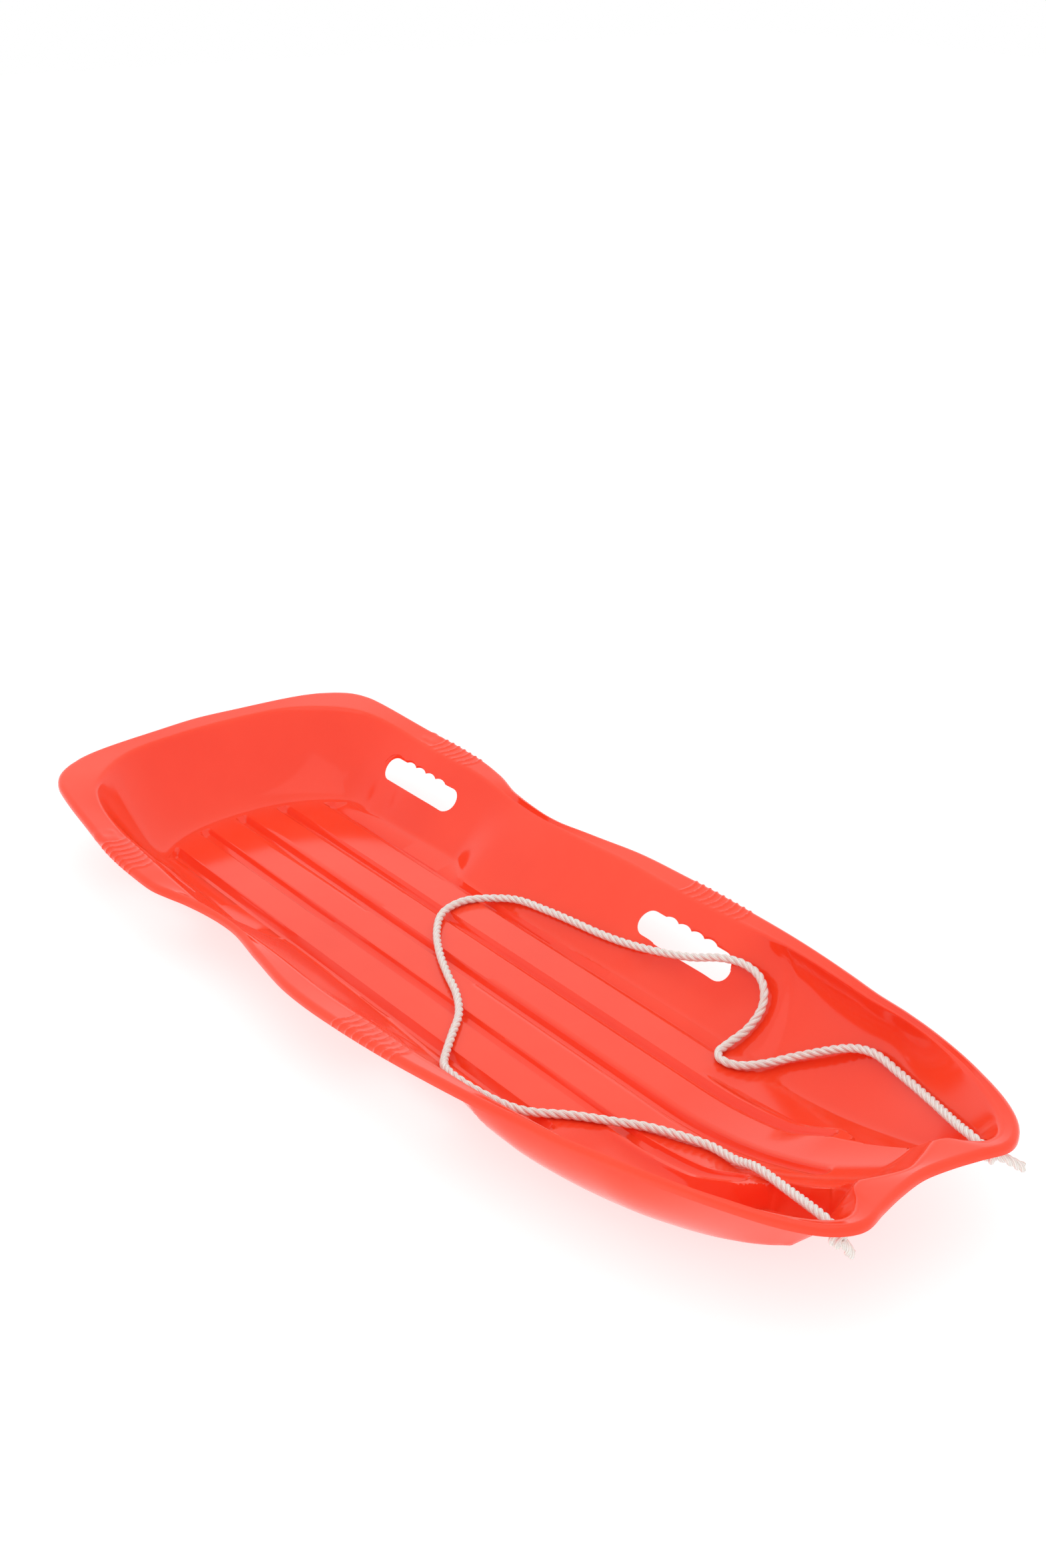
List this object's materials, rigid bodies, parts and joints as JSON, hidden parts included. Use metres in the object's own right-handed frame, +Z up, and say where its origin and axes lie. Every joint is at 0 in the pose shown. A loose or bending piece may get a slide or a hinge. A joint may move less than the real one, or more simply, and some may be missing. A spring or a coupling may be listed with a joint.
{
  "type": "snow toboggan",
  "caption": "Two-rider moulded snow sled with keels, hand slots and grip rims, and a twisted tow rope lying in its hull.",
  "frame": {"origin": "on the ground under the middle of the hull", "axes": "+X forward, towards the notched nose with the rope; +Y to the sled's left; +Z up"},
  "size_m": [1.2197, 0.4786, 0.1163],
  "materials": {
    "hull": "gloss",
    "rope": "twisted cord"
  },
  "bodies": {
    "root": {"hull_shell": "hull", "tow_rope": "rope", "left_stop_knot": "rope", "right_stop_knot": "rope", "left_rope_end": "rope", "right_rope_end": "rope"}
  },
  "joints": []
}
